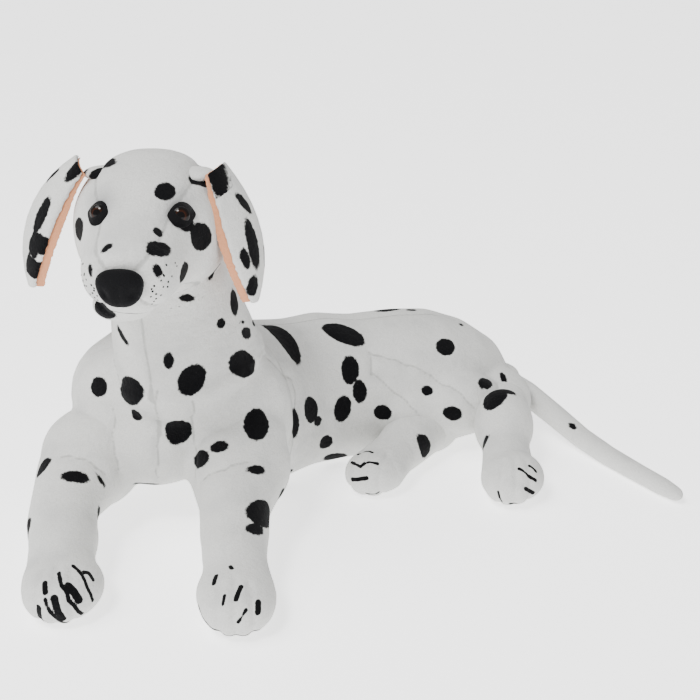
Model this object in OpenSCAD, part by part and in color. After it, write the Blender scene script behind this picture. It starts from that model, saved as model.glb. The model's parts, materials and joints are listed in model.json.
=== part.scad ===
// Lying plush dog: a sewn cover stuffed with fibre, made in sections that bend at their seams.
// Millimetres. +Z is up, the chest and the nose face -Y, and +X is the dog's left side.
// The origin is the middle of the flat belly panel that the toy rests on.

/* [Torso] */
// Width across the shoulders
chest_w = 272; // [210:1:315]
// Height of the shoulders above the floor
chest_h = 238; // [190:1:290]
// Clear height under the front of the chest
chest_lift = 50; // [30:1:80]
// Length of the shoulder section along the spine
chest_l = 190; // [150:1:230]
// Width of the waist
waist_w = 176; // [140:1:215]
// Height of the waist
waist_h = 188; // [150:1:235]
// Length of the waist section along the spine
waist_l = 200; // [150:1:230]
// Width of the rump
rump_w = 196; // [155:1:235]
// Height of the rump
rump_h = 178; // [150:1:225]
// Length of the rump section along the spine
rump_l = 225; // [160:1:240]
// Compass direction of the spine at the chest, anticlockwise from +X
chest_heading = 81; // [65:1:95]
// How far the spine turns towards the dog's left by the rump
spine_bend = 59; // [40:1:90]

/* [Neck] */
// Diameter of the neck where it joins the shoulders
neck_base_d = 168; // [130:1:200]
// Diameter of the neck under the head
neck_top_d = 134; // [110:1:160]
// Length from the neck's seat on the shoulders to the middle of the skull
neck_l = 182; // [150:1:215]
// Forward lean of the neck
neck_lean = 18; // [5:1:25]
// Depth of the neck's seat below the top of the shoulders
neck_seat = 30; // [15:1:45]

/* [Head] */
// Width of the skull
skull_w = 164; // [130:1:190]
// Height of the skull
skull_h = 150; // [130:1:190]
// Length of the head behind the eyes
skull_l = 145; // [120:1:175]
// Width of the muzzle
muzzle_w = 98; // [80:1:120]
// Height of the muzzle
muzzle_h = 84; // [70:1:100]
// Length of the muzzle in front of the eyes
muzzle_l = 88; // [70:1:110]
// Turn of the head towards the dog's right
head_turn = 3; // [0:1:20]
// Downward slope of the muzzle
head_slope = 8; // [5:1:25]

/* [Eyes and nose] */
// Diameter of the moulded eye
eye_d = 20; // [15:0.5:25]
// Distance between the centres of the eyes
eye_gap = 87; // [70:1:105]
// Diameter of the eye's shank
shank_d = 5; // [4:0.5:7]
// Length of the eye's shank
shank_l = 18; // [14:1:22]
// Diameter of the lock washer behind the eye
washer_d = 16; // [12:0.5:20]
// Depth of the washer under the surface of the cover
washer_depth = 12.5; // [10:0.5:14]
// Height of the eyes above the axis of the muzzle
eye_lift = 43; // [34:1:52]
// How far the eyes turn outwards
eye_out = 14; // [5:1:25]
// How far the eyes turn upwards
eye_rise = 25; // [10:1:40]
// Width of the nose
nose_w = 48; // [36:1:60]
// Height of the nose
nose_h = 38; // [28:1:48]

/* [Ears] */
// Length of the ear from its fold to its tip
ear_l = 158; // [120:1:180]
// Greatest width of the ear
ear_w = 62; // [50:1:80]
// Thickness of the stuffed ear without its lining
ear_t = 5; // [4:0.5:8]
// Thickness of the ear lining
lining_t = 2.5; // [2:0.5:4]
// Distance of the left ear's fold from the middle of the head
ear_left_out = 66; // [54:1:80]
// Distance of the right ear's fold from the middle of the head
ear_right_out = 62; // [54:1:80]
// Height of the ears' folds above the middle of the skull
ear_z = 71; // [58:1:80]
// How far the ears' folds are in front of the middle of the skull
ear_fore = 12; // [0:1:20]
// How far the left ear faces outwards
ear_left_turn = 24; // [10:1:60]
// How far the right ear faces outwards
ear_right_turn = 36; // [10:1:60]
// How far the left ear stands out at its fold
ear_left_flop = 28; // [20:1:60]
// How far the right ear stands out at its fold
ear_right_flop = 50; // [20:1:60]
// Depth of the ear's hollow
ear_cup = 9; // [6:1:16]

/* [Front legs] */
// Length from the shoulder joint to the toes
front_leg_l = 242; // [220:1:320]
// Diameter at the shoulder joint
front_root_d = 104; // [84:1:124]
// Diameter at the wrist
front_wrist_d = 66; // [54:1:80]
// Width of a front paw
front_paw_w = 80; // [64:1:96]
// Height of a front paw
front_paw_h = 62; // [52:1:72]
// Height of the shoulder joints above the floor
shoulder_z = 88; // [75:1:105]
// Distance of the left shoulder joint from the spine
shoulder_left_out = 86; // [75:1:105]
// Distance of the right shoulder joint from the spine
shoulder_right_out = 92; // [75:1:105]
// Compass direction of the left front leg
front_left_aim = -86; // [-100:1:-75]
// Compass direction of the right front leg
front_right_aim = -89; // [-100:1:-75]
// How far the left front leg bows
front_left_bow = 4; // [0:1:20]
// How far the right front leg bows
front_right_bow = 18; // [0:1:20]

/* [Hind legs] */
// Length from the hip joint to the toes
hind_leg_l = 226; // [190:1:265]
// Length of the tucked hind leg in front of the belly
tucked_leg_l = 172; // [150:1:200]
// Diameter at the hip joint
hind_root_d = 78; // [66:1:92]
// Diameter above the hind paw
hind_wrist_d = 58; // [48:1:70]
// Width of a hind paw
hind_paw_w = 70; // [56:1:84]
// Height of a hind paw
hind_paw_h = 56; // [46:1:66]
// Height of the left hip joint above the floor
hip_left_z = 60; // [50:1:75]
// Distance of the left hip joint from the spine
hip_left_out = 74; // [64:1:84]
// Distance of the right hip joint from the spine
hip_right_out = 71; // [58:1:80]
// Compass direction of the left hind leg
hind_left_aim = -92; // [-105:1:-85]
// Compass direction of the tucked right hind leg
hind_right_aim = -120; // [-130:1:-110]

/* [Tail] */
// Length of the tail
tail_l = 334; // [260:1:380]
// Diameter at the root
tail_root_d = 36; // [28:1:44]
// Diameter at the tip
tail_tip_d = 23; // [18:1:28]
// Compass direction of the tail
tail_aim = -55; // [-60:1:-30]
// How far the tail bows away from the hind leg
tail_bow = 14; // [8:1:24]
// Height of the tail's root above the floor
tail_root_z = 62; // [50:1:80]

/* [Cover] */
// Thickness of the plush cover
plush_t = 3; // [2:0.5:4]
// Gap between the stuffed bodies that move against each other
joint_gap = 1; // [0.6:0.1:2]
// Gap between the pieces of one body
seam_gap = 0.2; // [0.1:0.05:0.4]

/* [Hidden] */

white = "#F1F1EE";
black = "#17171A";
fibre = "#FAFAF6";
tan_pile = "#D9A184";
amber = "#5A3A1C";
torso_sides = 28;
limb_sides = 20;
boxy = 0.9;

// ---- Rows of rings ------------------------------------------------------
// A station is [centre, half width, height above the centre, depth below it].
function unit(v) = v / norm(v);
function flat(v) = [v.x, v.y, 0];
function compass(a) = [cos(a), sin(a), 0];
function left_of(d) = unit(cross(d, [0, 0, 1]));
function full(v, soft) = sign(v) * pow(abs(v), soft);
function mean_r(s) = (s[1] + s[2] + s[3]) / 3;
function slice(v, a, b) = [for (i = [a : b]) v[i]];
function span(a, b) = [for (i = [a : b]) i];

function next(st, i) = st[min(i + 1, len(st) - 1)];
function last(st, i) = st[max(i - 1, 0)];
function along(st, i) = next(st, i)[0] - last(st, i)[0];
function flare(st, i) = atan2(mean_r(next(st, i)) - mean_r(last(st, i)), norm(along(st, i)));

// The ring at station i, drawn in by the inset along the surface's normal, and never below the floor.
function ring(st, i, inset, sides, level, soft) =
  let (d = unit(level ? flat(along(st, i)) : along(st, i)),
       side = left_of(d),
       up = cross(side, d),
       a = flare(st, i),
       c = st[i][0] + inset * sin(a) * d,
       cut = inset * cos(a))
  [for (k = [0 : sides - 1])
    let (t = 360 * k / sides - 90,
         h = (sin(t) > 0 ? st[i][2] : st[i][3]) - cut,
         p = c + full(cos(t), soft) * (st[i][1] - cut) * side + full(sin(t), soft) * h * up)
    [p.x, p.y, max(p.z, inset)]];
function rings(st, inset, sides, level = false, soft = 1) =
  [for (i = [0 : len(st) - 1]) ring(st, i, inset, sides, level, soft)];

function halves(q) = [[q[0], q[1], q[2]], [q[0], q[2], q[3]]];
function fan(f) = [for (j = [1 : len(f) - 2]) [f[0], f[j], f[j + 1]]];

// A sewn panel between an outer and an inner row of rings, over the columns named.
module panel(outer, inner, cols, closed_start = false, closed_end = false, open_rows = false) {
  m = len(cols);
  e = len(outer) - 1;
  whole = !open_rows && m == len(outer[0]);
  strips = whole ? m : m - 1;
  function o(i, j) = i * m + j % m;
  function q(i, j) = (e + 1 + i) * m + j % m;
  skins = [for (i = [0 : e - 1], j = [0 : strips - 1])
    each concat(halves([o(i, j), o(i, j + 1), o(i + 1, j + 1), o(i + 1, j)]),
                halves([q(i, j), q(i + 1, j), q(i + 1, j + 1), q(i, j + 1)]))];
  sides = whole ? [] : [for (i = [0 : e - 1])
    each concat(halves([o(i, 0), o(i + 1, 0), q(i + 1, 0), q(i, 0)]),
                halves([o(i, m - 1), q(i, m - 1), q(i + 1, m - 1), o(i + 1, m - 1)]))];
  start = closed_start
    ? concat(fan([for (j = [m - 1 : -1 : 0]) o(0, j)]), fan([for (j = [0 : m - 1]) q(0, j)]),
             whole ? [] : halves([o(0, m - 1), o(0, 0), q(0, 0), q(0, m - 1)]))
    : [for (j = [0 : strips - 1]) each halves([o(0, j + 1), o(0, j), q(0, j), q(0, j + 1)])];
  end = closed_end
    ? concat(fan([for (j = [0 : m - 1]) o(e, j)]), fan([for (j = [m - 1 : -1 : 0]) q(e, j)]),
             whole ? [] : halves([o(e, 0), o(e, m - 1), q(e, m - 1), q(e, 0)]))
    : [for (j = [0 : strips - 1]) each halves([o(e, j), o(e, j + 1), q(e, j + 1), q(e, j)])];
  polyhedron(
    points = concat([for (r = outer, k = cols) r[k]], [for (r = inner, k = cols) r[k]]),
    faces = concat(skins, sides, start, end));
}

// A stuffed core: the same rows closed at both ends.
module core(row) {
  m = len(row[0]);
  e = len(row) - 1;
  polyhedron(
    points = [for (r = row) each r],
    faces = concat(
      [for (i = [0 : e - 1], j = [0 : m - 1])
        each halves([i * m + j, i * m + (j + 1) % m, (i + 1) * m + (j + 1) % m, (i + 1) * m + j])],
      fan([for (j = [m - 1 : -1 : 0]) j]),
      fan([for (j = [0 : m - 1]) e * m + j])));
}

// ---- Torso --------------------------------------------------------------
// Each row is [distance along the spine, width, underside, top]; undersides below 0 press flat.
press = 14;
socket_flare = 1.35;
torso_rows = [
  [0, chest_w * 0.30, chest_lift + 62, chest_h - 82],
  [chest_l * 0.05, chest_w * 0.60, chest_lift + 34, chest_h - 44],
  [chest_l * 0.16, chest_w * 0.84, chest_lift + 12, chest_h - 14],
  [chest_l * 0.34, chest_w * 0.98, chest_lift, chest_h],
  [chest_l * 0.55, chest_w, chest_lift * 0.6, chest_h + 2],
  [chest_l * 0.78, chest_w * 0.93, chest_lift * 0.1, chest_h - 8],
  [chest_l, chest_w * 0.84, -press * 0.7, (chest_h + waist_h) / 2],
  [chest_l + waist_l * 0.25, (chest_w * 0.3 + waist_w * 0.7), -press, waist_h + 8],
  [chest_l + waist_l * 0.5, waist_w, -press, waist_h],
  [chest_l + waist_l * 0.75, (waist_w + rump_w) / 2, -press, waist_h],
  [chest_l + waist_l, rump_w * 0.97, -press, rump_h],
  [chest_l + waist_l + rump_l * 0.25, rump_w, -press, rump_h],
  [chest_l + waist_l + rump_l * 0.5, rump_w * 0.97, -press, rump_h - 6],
  [chest_l + waist_l + rump_l * 0.72, rump_w * 0.85, -press * 0.8, rump_h - 24],
  [chest_l + waist_l + rump_l * 0.88, rump_w * 0.66, -press * 0.2, rump_h - 50],
  [chest_l + waist_l + rump_l * 0.97, rump_w * 0.42, 24, rump_h - 82],
  [chest_l + waist_l + rump_l, rump_w * 0.16, 52, rump_h - 112]
];
spine_l = chest_l + waist_l + rump_l;
waist_row = 6;
rump_row = 10;
rest_row = 8;
end_row = len(torso_rows) - 1;

// The spine keeps straight through the shoulders, then bends most behind them.
function heading(s) =
  let (u = min(max((s - chest_l * 0.35) / (spine_l * 0.62), 0), 1))
  chest_heading - spine_bend * (1 - (1 - u) * (1 - u));
function walked(i) =
  i == 0 ? [0, 0, 0]
  : let (a = torso_rows[i - 1][0], b = torso_rows[i][0])
    walked(i - 1) + (b - a) * compass(heading((a + b) / 2));
function spine(i) = walked(i) - walked(rest_row);
torso_st = [for (i = [0 : end_row])
  let (r = torso_rows[i], h = (r[3] - r[2]) / 2)
  [spine(i) + [0, 0, r[2] + h], r[1] / 2, h, h]];
torso_out = rings(torso_st, 0, torso_sides, true, boxy);
torso_in = rings(torso_st, plush_t, torso_sides, true, boxy);
torso_core = rings(torso_st, plush_t + seam_gap, torso_sides, true, boxy);

belly_cols = 2;
left_cols = span(0, torso_sides / 2);
right_cols = [for (k = [torso_sides / 2 : torso_sides]) k % torso_sides];
left_open = span(belly_cols, torso_sides / 2);
right_open = span(torso_sides / 2, torso_sides - belly_cols);

// A point beside the spine: along it, out to the dog's left, and up.
function beside(i, fore, out, z) =
  let (d = compass(heading(torso_rows[i][0])))
  spine(i) + fore * d + out * left_of(d) + [0, 0, z];

module torso_part(a, b, cols, closed_start = false, closed_end = false) color(white)
  difference() {
    panel(slice(torso_out, a, b), slice(torso_in, a, b), cols, closed_start, closed_end);
    for (l = limbs_in(a, b)) limb_room(l[0], l[1]);
    if (a < waist_row) neck_room(72);
  }
// The limbs whose roots lie in the torso rows a to b, each with its root diameter.
function limbs_in(a, b) = concat(
  a < waist_row ? [for (st = [front_left_st, front_right_st]) [st, front_root_d]] : [],
  b > waist_row ? [for (st = [hind_left_st, hind_right_st]) [st, hind_root_d]] : [],
  b > rump_row ? [[tail_st, tail_root_d]] : []);
// A ball socket that flares towards the limb, so that the limb can swing without touching.
module limb_room(st, d) at_limb_root(st) {
  r = d / 2 + joint_gap;
  sphere(r, $fn = 48);
  cylinder(r1 = r + joint_gap, r2 = r * socket_flare, h = r * 1.8, $fn = 48);
}
// The filling has a plain pocket round the same ball.
module limb_pocket(st, d) at_limb_root(st) {
  r = d / 2 + joint_gap;
  translate([0, 0, -r]) cylinder(r = r * socket_flare, h = 4 * r, $fn = 12);
}
module at_limb_root(st)
  translate(st[ball_count][0]) orient(st[ball_count + 1][0] - st[ball_count][0]) children();
// The flat seat of the neck on the shoulders.
module neck_room(sides)
  translate(neck_base) orient(neck_axis) translate([0, 0, -joint_gap])
    cylinder(d = (neck_base_d + 4 * joint_gap) / cos(180 / sides), h = neck_l, $fn = sides);
module orient(v) rotate([0, acos(v.z / norm(v)), atan2(v.y, v.x)]) children();

module chest_cover_left() torso_part(0, waist_row, left_cols, true, false);
module chest_cover_right() torso_part(0, waist_row, right_cols, true, false);
module waist_cover_left() torso_part(waist_row, rump_row, left_open);
module waist_cover_right() torso_part(waist_row, rump_row, right_open);
module rump_cover_left() torso_part(rump_row, end_row, left_cols, false, true);
module rump_cover_right() torso_part(rump_row, end_row, right_cols, false, true);

// The flat panel between the two waist covers, which lies on the floor.
module belly_panel() {
  inset = plush_t + seam_gap;
  function edge(i, k, s) =
    let (p = torso_out[i][k]) flat(p) - s * inset * left_of(compass(heading(torso_rows[i][0])));
  rows = span(waist_row, rump_row);
  color(white) linear_extrude(plush_t) polygon([
    for (p = concat([for (i = rows) edge(i, belly_cols, 1)],
                    [for (j = [len(rows) - 1 : -1 : 0]) edge(rows[j], torso_sides - belly_cols, -1)]))
      [p.x, p.y]]);
}
module torso_filling(a, b) color(fibre)
  difference() {
    core(slice(torso_core, a, b));
    for (l = limbs_in(a, b)) limb_pocket(l[0], l[1]);
    if (a < waist_row) neck_room(12);
  }
module chest_filling() torso_filling(0, waist_row);
module waist_filling() torso_filling(waist_row, rump_row);
module rump_filling() torso_filling(rump_row, end_row);

// ---- Neck ---------------------------------------------------------------
neck_row = 3;
neck_shift = 18;
neck_yaw = heading(0) + 180 - 14;
neck_axis = unit([sin(neck_lean) * cos(neck_yaw), sin(neck_lean) * sin(neck_yaw), cos(neck_lean)]);
neck_base = beside(neck_row, 0, neck_shift, chest_h - neck_seat);
skull_c = neck_base + neck_l * neck_axis;
neck_rows = [[0, neck_base_d], [0.16, neck_base_d * 0.97], [0.34, neck_base_d * 0.9],
             [0.54, neck_base_d * 0.45 + neck_top_d * 0.45], [0.78, neck_top_d], [0.98, neck_top_d * 0.98]];
neck_st = [for (r = neck_rows) [neck_base + r[0] * neck_l * neck_axis, r[1] / 2, r[1] / 2, r[1] / 2]];
neck_out = rings(neck_st, 0, limb_sides);
neck_in = rings(neck_st, plush_t, limb_sides);
neck_core = rings(neck_st, plush_t + seam_gap, limb_sides);
module skull_room() translate(skull_c) sphere(d = skull_ball + 2 * joint_gap, $fn = 60);
module neck_part(cols) color(white) difference() {
  panel(neck_out, neck_in, cols);
  skull_room();
}
module neck_cover_left() neck_part(span(0, limb_sides / 2));
module neck_cover_right() neck_part([for (k = [limb_sides / 2 : limb_sides]) k % limb_sides]);
module neck_filling() color(fibre) difference() {
  core(neck_core);
  skull_room();
}

// ---- Head ---------------------------------------------------------------
skull_ball = max(skull_w, skull_h) + 8;
head_yaw = -90 - head_turn;
head_dir = [cos(head_slope) * cos(head_yaw), cos(head_slope) * sin(head_yaw), -sin(head_slope)];
head_left = left_of(-head_dir);
head_up = cross(head_left, -head_dir);
eye_fore = skull_l * 0.52;
nose_tip = skull_c + (eye_fore + muzzle_l) * head_dir;
// Each row is [distance behind the nose tip, width, height above the axis, depth below it].
head_rows = [
  [0, muzzle_w * 0.44, muzzle_h * 0.22, muzzle_h * 0.22],
  [muzzle_l * 0.06, muzzle_w * 0.66, muzzle_h * 0.33, muzzle_h * 0.36],
  [muzzle_l * 0.24, muzzle_w * 0.92, muzzle_h * 0.42, muzzle_h * 0.5],
  [muzzle_l * 0.5, muzzle_w, muzzle_h * 0.46, muzzle_h * 0.54],
  [muzzle_l * 0.78, muzzle_w * 1.06, muzzle_h * 0.55, muzzle_h * 0.58],
  [muzzle_l, muzzle_w * 0.5 + skull_w * 0.42, skull_h * 0.38, skull_h * 0.34],
  [muzzle_l + skull_l * 0.14, skull_w * 0.89, skull_h * 0.46, skull_h * 0.4],
  [muzzle_l + skull_l * 0.32, skull_w * 0.98, skull_h * 0.51, skull_h * 0.45],
  [muzzle_l + skull_l * 0.52, skull_w, skull_h * 0.53, skull_h * 0.47],
  [muzzle_l + skull_l * 0.72, skull_w * 0.92, skull_h * 0.49, skull_h * 0.43],
  [muzzle_l + skull_l * 0.88, skull_w * 0.7, skull_h * 0.39, skull_h * 0.33],
  [muzzle_l + skull_l * 0.97, skull_w * 0.44, skull_h * 0.25, skull_h * 0.22],
  [muzzle_l + skull_l, skull_w * 0.18, skull_h * 0.1, skull_h * 0.1]
];
head_st = [for (r = head_rows) [nose_tip - r[0] * head_dir, r[1] / 2, r[2], r[3]]];
head_sides = 28;
head_out = rings(head_st, 0, head_sides, false, boxy);
head_in = rings(head_st, plush_t, head_sides, false, boxy);
head_core = rings(head_st, plush_t + seam_gap, head_sides, false, boxy);
gusset_cols = span(11, 17);
chin_cols = [for (k = [25 : 31]) k % head_sides];
left_cheek = span(3, 11);
right_cheek = span(17, 25);

module head_part(cols) color(white) difference() {
  panel(head_out, head_in, cols, true, true);
  eye_holes();
}
module head_gusset() head_part(gusset_cols);
module head_side_left() head_part(left_cheek);
module head_side_right() head_part(right_cheek);
module chin_panel() head_part(chin_cols);
module head_filling() color(fibre) difference() {
  core(head_core);
  eye_holes();
  for (s = [-1, 1]) at_eye(s) translate([0, 0, -washer_depth - washer_h - seam_gap])
    cylinder(d = washer_d + 2 * seam_gap, h = washer_h + 2 * seam_gap, $fn = 32);
}

// Eyes stand on the slope of the forehead and look forwards, a little outwards and up.
washer_h = 3;
eye_dome_h = 6;
eye_dome_r = (eye_d * eye_d / 4 + eye_dome_h * eye_dome_h) / (2 * eye_dome_h);
eye_dir = function(s) unit(head_dir + tan(eye_out) * s * head_left + tan(eye_rise) * head_up);
eye_seat = function(s)
  nose_tip - (muzzle_l - 3) * head_dir + s * eye_gap / 2 * head_left + eye_lift * head_up;
module at_eye(s) translate(eye_seat(s)) orient(eye_dir(s)) children();
module eye(s) color(amber) at_eye(s) union() {
  translate([0, 0, seam_gap + plush_t]) intersection() {
    translate([0, 0, eye_dome_h - eye_dome_r]) sphere(eye_dome_r, $fn = 48);
    cylinder(d = eye_d, h = eye_dome_h + 1, $fn = 48);
  }
  translate([0, 0, plush_t - shank_l]) cylinder(d = shank_d, h = shank_l + 1, $fn = 24);
}
// The shank's hole, and the dent that the dome presses into the pile.
module eye_holes() for (s = [-1, 1]) at_eye(s) {
  translate([0, 0, -shank_l]) cylinder(d = shank_d + 2 * seam_gap, h = 2 * shank_l, $fn = 24);
  translate([0, 0, plush_t]) cylinder(d = eye_d + 2 * seam_gap, h = shank_l, $fn = 48);
}
module eye_washer(s) color(black) at_eye(s) translate([0, 0, -washer_depth - washer_h])
  difference() {
    cylinder(d = washer_d, h = washer_h, $fn = 32);
    translate([0, 0, -1]) cylinder(d = shank_d + 2 * seam_gap, h = washer_h + 2, $fn = 24);
  }
module eye_left() eye(1);
module eye_right() eye(-1);
module eye_washer_left() eye_washer(1);
module eye_washer_right() eye_washer(-1);

// The nose is a small stuffed pad on the front of the muzzle.
module nose_pad() {
  c = nose_tip;
  rows = [[0.3, 0.8], [3, 1], [8, 1], [12, 0.8], [15, 0.45]];
  st = [for (r = rows) [c + r[0] * head_dir, nose_w / 2 * r[1], nose_h / 2 * r[1], nose_h / 2 * r[1]]];
  color(black) core(rings([for (i = [len(st) - 1 : -1 : 0]) st[i]], 0, limb_sides));
}

// ---- Ears ---------------------------------------------------------------
// An ear leaves its fold outwards and then hangs; its front edge is nearest the face.
ear_rows = [0.55, 0.7, 0.84, 0.94, 1, 1, 0.92, 0.76, 0.5, 0.2];
ear_steps = len(ear_rows) - 1;
ear_curl = 50;
ear_start = 6;
function ear_root(s) =
  skull_c + (s > 0 ? ear_left_out : -ear_right_out) * head_left + ear_z * head_up + ear_fore * head_dir;
function ear_down(s, i) =
  let (a = (s > 0 ? ear_left_flop : ear_right_flop) * (1 - i / ear_steps))
  unit(sin(a) * s * head_left + [0, 0, -cos(a)]);
function ear_mid(s, i) =
  i == 0 ? ear_root(s) + ear_start * ear_down(s, 0)
  : ear_mid(s, i - 1) + (ear_l - ear_start) / ear_steps * ear_down(s, i - 0.5);
function ear_point(s, i, j, lift) =
  let (v = ear_down(s, i),
       turn = s > 0 ? ear_left_turn : ear_right_turn,
       n = unit(cross(v, s * unit(-cos(turn) * head_dir + sin(turn) * s * head_left))),
       w = s * cross(v, n),
       t = ear_curl * (2 * j / (ear_cols - 1) - 1),
       shape = ear_cup * ear_rows[i] * (cos(t) - cos(ear_curl)) / (1 - cos(ear_curl)))
  ear_mid(s, i) + w * ear_w / 2 * ear_rows[i] * sin(t) / sin(ear_curl) + (lift + shape) * n;
ear_cols = 9;
function ear_layer(s, lift) =
  [for (i = [0 : ear_steps])
    [for (j = [0 : ear_cols - 1]) ear_point(s, i, s > 0 ? ear_cols - 1 - j : j, lift)]];
module ear_sheet(s, low, high)
  panel(ear_layer(s, high), ear_layer(s, low), span(0, ear_cols - 1), open_rows = true);
module ear_cover(s) color(white) ear_sheet(s, lining_t + seam_gap, lining_t + seam_gap + ear_t);
module ear_lining(s) color(tan_pile) ear_sheet(s, 0, lining_t);
module ear_cover_left() ear_cover(1);
module ear_cover_right() ear_cover(-1);
module ear_lining_left() ear_lining(1);
module ear_lining_right() ear_lining(-1);

// ---- Legs ---------------------------------------------------------------
// A limb starts in a ball round its joint, so that it turns in the torso without a gap changing.
// Its rows are [distance from the joint, bow to the side, height, width, thickness].
ball_angles = [-84, -62, -40, -18];
ball_count = len(ball_angles);
function ball_rows(r) = [for (a = ball_angles) [r * sin(a), 0, 0, r * cos(a), r * cos(a)]];
function limb(joint, aim, rows) =
  let (d = compass(aim), side = left_of(d), balls = ball_rows(rows[0][3] / 2),
       lean = unit(d * rows[1][0] + [0, 0, rows[1][2] - rows[0][2]]))
  concat(
    [for (b = balls) [joint + b[0] * lean, b[3], b[4], b[4]]],
    [for (r = rows) [flat(joint) + r[0] * d + r[1] * side + [0, 0, r[2]], r[3] / 2, r[4] / 2, r[4] / 2]]);
limb_left = [for (k = [0 : limb_sides / 2]) k];
limb_right = [for (k = [limb_sides / 2 : limb_sides]) k % limb_sides];
module limb_cover(st, cols) color(white)
  panel(rings(st, 0, limb_sides), rings(st, plush_t, limb_sides), cols, true, true);
module limb_filling(st) color(fibre) core(rings(st, plush_t + seam_gap, limb_sides));

shoulder_left = beside(0, 24, shoulder_left_out, shoulder_z);
shoulder_right = beside(0, 20, -shoulder_right_out, shoulder_z);
function front_rows(bow) = [
  [0, 0, shoulder_z, front_root_d, front_root_d],
  [front_leg_l * 0.15, bow * 0.5, shoulder_z - 8, front_root_d * 0.98, front_root_d * 0.92],
  [front_leg_l * 0.3, bow, shoulder_z - 20, (front_root_d + front_wrist_d) * 0.45, front_root_d * 0.78],
  [front_leg_l * 0.45, bow, shoulder_z - 34, front_wrist_d * 1.12, front_wrist_d * 1.05],
  [front_leg_l * 0.58, bow * 0.7, shoulder_z - 46, front_wrist_d, front_wrist_d * 0.92],
  [front_leg_l * 0.68, bow * 0.4, front_paw_h * 0.55, front_paw_w * 0.9, front_paw_h * 0.98],
  [front_leg_l * 0.79, bow * 0.2, front_paw_h * 0.5, front_paw_w, front_paw_h],
  [front_leg_l * 0.89, 0, front_paw_h * 0.48, front_paw_w * 0.96, front_paw_h * 0.94],
  [front_leg_l * 0.96, 0, front_paw_h * 0.46, front_paw_w * 0.76, front_paw_h * 0.76],
  [front_leg_l, 0, front_paw_h * 0.44, front_paw_w * 0.4, front_paw_h * 0.4]
];
front_left_st = limb(shoulder_left, front_left_aim, front_rows(front_left_bow));
front_right_st = limb(shoulder_right, front_right_aim, front_rows(front_right_bow));
module front_leg_outer_left() limb_cover(front_left_st, limb_left);
module front_leg_inner_left() limb_cover(front_left_st, limb_right);
module front_leg_filling_left() limb_filling(front_left_st);
module front_leg_outer_right() limb_cover(front_right_st, limb_right);
module front_leg_inner_right() limb_cover(front_right_st, limb_left);
module front_leg_filling_right() limb_filling(front_right_st);

hip_right_z = hind_root_d / 2 + 1;
hip_left = beside(14, -16, hip_left_out, hip_left_z);
hip_right = beside(11, 18, hip_right_out, hip_right_z);
function hind_rows(z, l) = [
  [0, 0, z, hind_root_d, hind_root_d],
  [l * 0.18, 0, z * 0.92 + 2, hind_root_d * 0.94, hind_root_d * 0.9],
  [l * 0.38, 0, z * 0.7 + 8, hind_wrist_d * 1.14, hind_wrist_d * 1.14],
  [l * 0.56, 0, z * 0.4 + 16, hind_wrist_d, hind_wrist_d],
  [l * 0.7, 0, hind_paw_h * 0.54, hind_paw_w * 0.92, hind_paw_h * 0.98],
  [l * 0.83, 0, hind_paw_h * 0.5, hind_paw_w, hind_paw_h],
  [l * 0.93, 0, hind_paw_h * 0.47, hind_paw_w * 0.84, hind_paw_h * 0.82],
  [l, 0, hind_paw_h * 0.44, hind_paw_w * 0.44, hind_paw_h * 0.42]
];
hind_left_st = limb(hip_left, hind_left_aim, hind_rows(hip_left_z, hind_leg_l));
hind_right_st = limb(hip_right, hind_right_aim, hind_rows(hip_right_z, tucked_leg_l));
module hind_leg_outer_left() limb_cover(hind_left_st, limb_left);
module hind_leg_inner_left() limb_cover(hind_left_st, limb_right);
module hind_leg_filling_left() limb_filling(hind_left_st);
module hind_leg_outer_right() limb_cover(hind_right_st, limb_right);
module hind_leg_inner_right() limb_cover(hind_right_st, limb_left);
module hind_leg_filling_right() limb_filling(hind_right_st);

// ---- Tail ---------------------------------------------------------------
tail_root = beside(15, 4, 16, tail_root_z);
// Each row is [share of the length, share of the drop to the floor].
tail_rows = [[0, 0], [0.12, 0.2], [0.28, 0.54], [0.44, 0.84], [0.6, 0.97], [0.76, 1], [0.9, 1],
             [0.98, 1], [1, 1]];
tail_st = limb(tail_root, tail_aim, [for (r = tail_rows)
  let (d = tail_root_d + (tail_tip_d - tail_root_d) * r[0],
       w = d * (r[0] < 0.95 ? 1 : r[0] < 1 ? 0.8 : 0.35),
       z = tail_root.z + (tail_tip_d / 2 - tail_root.z) * r[1])
  [tail_l * r[0], -tail_bow * sin(180 * pow(r[0], 0.7)), z, w, w]]);
module tail_cover() color(white)
  panel(rings(tail_st, 0, limb_sides), rings(tail_st, plush_t, limb_sides),
        span(0, limb_sides - 1), false, true);
module tail_filling() color(fibre) core(rings(tail_st, plush_t + seam_gap, limb_sides));

chest_cover_left();
chest_cover_right();
waist_cover_left();
waist_cover_right();
rump_cover_left();
rump_cover_right();
belly_panel();
chest_filling();
waist_filling();
rump_filling();
neck_cover_left();
neck_cover_right();
neck_filling();
head_gusset();
head_side_left();
head_side_right();
chin_panel();
head_filling();
nose_pad();
eye_left();
eye_right();
eye_washer_left();
eye_washer_right();
ear_cover_left();
ear_lining_left();
ear_cover_right();
ear_lining_right();
front_leg_outer_left();
front_leg_inner_left();
front_leg_filling_left();
front_leg_outer_right();
front_leg_inner_right();
front_leg_filling_right();
hind_leg_outer_left();
hind_leg_inner_left();
hind_leg_filling_left();
hind_leg_outer_right();
hind_leg_inner_right();
hind_leg_filling_right();
tail_cover();
tail_filling();
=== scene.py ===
"""Lying plush dog: white short-pile plush with airbrushed black spots, stuffed with fibre."""
import json
import math

import bmesh
import bpy
import numpy as np
from mathutils import Matrix, Vector, noise
from mathutils.bvhtree import BVHTree


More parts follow.
